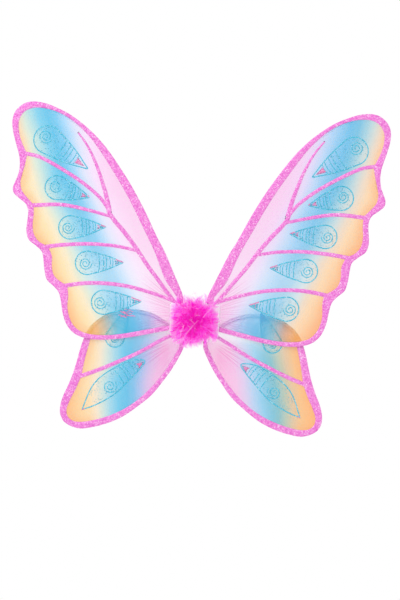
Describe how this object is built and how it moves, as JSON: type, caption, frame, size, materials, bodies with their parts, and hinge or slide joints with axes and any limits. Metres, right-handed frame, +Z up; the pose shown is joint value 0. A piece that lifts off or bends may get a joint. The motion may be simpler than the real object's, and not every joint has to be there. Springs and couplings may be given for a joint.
{
  "type": "fairy wings",
  "caption": "Child's costume wings: folding wire frames under sheer printed fabric with glitter borders, a marabou puff on a satin centre and elastic arm loops.",
  "frame": {"origin": "centre of the back pad's rear face, the face that lies against the wearer's back", "axes": "+X across the wings to the right as seen from the puff side, +Y out of the back pad towards the wearer, +Z up"},
  "size_m": [0.5662, 0.1506, 0.486],
  "materials": {
    "steel": "drawn wire",
    "crimp": "plain",
    "sheer": "sheer nylon with a printed colour fade",
    "glitter": "fine pink glitter glued on fabric",
    "satin": "white satin",
    "card": "plain stiffener sheet",
    "elastic": "ribbed white elastic",
    "marabou": "fluffy dyed feather"
  },
  "bodies": {
    "centre": {"front_panel": "satin", "centre_card": "card", "back_pad": "satin", "marabou_core": "satin", "marabou_puff": "marabou", "left_upper_casing": "satin", "left_lower_casing": "satin", "right_upper_casing": "satin", "right_lower_casing": "satin", "left_strap_top_tail": "elastic", "left_strap_bottom_tail": "elastic", "right_strap_top_tail": "elastic", "right_strap_bottom_tail": "elastic"},
    "left_wing": {"left_upper_wire": "steel", "left_upper_ferrule": "crimp", "left_upper_membrane": "sheer", "left_upper_trim": "glitter"},
    "left_lower_wing": {"left_lower_wire": "steel", "left_lower_ferrule": "crimp", "left_lower_membrane": "sheer", "left_lower_trim": "glitter"},
    "right_wing": {"right_upper_wire": "steel", "right_upper_ferrule": "crimp", "right_upper_membrane": "sheer", "right_upper_trim": "glitter"},
    "right_lower_wing": {"right_lower_wire": "steel", "right_lower_ferrule": "crimp", "right_lower_membrane": "sheer", "right_lower_trim": "glitter"},
    "left_strap": {"left_strap_loop": "elastic"},
    "right_strap": {"right_strap_loop": "elastic"}
  },
  "joints": [
    {"name": "left_wing_fold", "type": "hinge", "parent": "centre", "child": "left_wing", "pos_m": [-0.018, -0.006, 0], "axis": [0, 0, 1], "range_deg": [-70, 0]},
    {"name": "left_lower_wing_fold", "type": "hinge", "parent": "left_wing", "child": "left_lower_wing", "pos_m": [-0.018, -0.006, -0.024], "axis": [0, 0, 1], "range_deg": [-10, 0]},
    {"name": "right_wing_fold", "type": "hinge", "parent": "centre", "child": "right_wing", "pos_m": [0.018, -0.006, 0], "axis": [0, 0, 1], "range_deg": [0, 70]},
    {"name": "right_lower_wing_fold", "type": "hinge", "parent": "right_wing", "child": "right_lower_wing", "pos_m": [0.018, -0.006, -0.024], "axis": [0, 0, 1], "range_deg": [0, 10]},
    {"name": "left_strap_swing", "type": "hinge", "parent": "centre", "child": "left_strap", "pos_m": [-0.0085, -0.005, 0], "axis": [0, 0, 1], "range_deg": [0, 45]},
    {"name": "right_strap_swing", "type": "hinge", "parent": "centre", "child": "right_strap", "pos_m": [0.0085, -0.005, 0], "axis": [0, 0, 1], "range_deg": [-45, 0]}
  ]
}
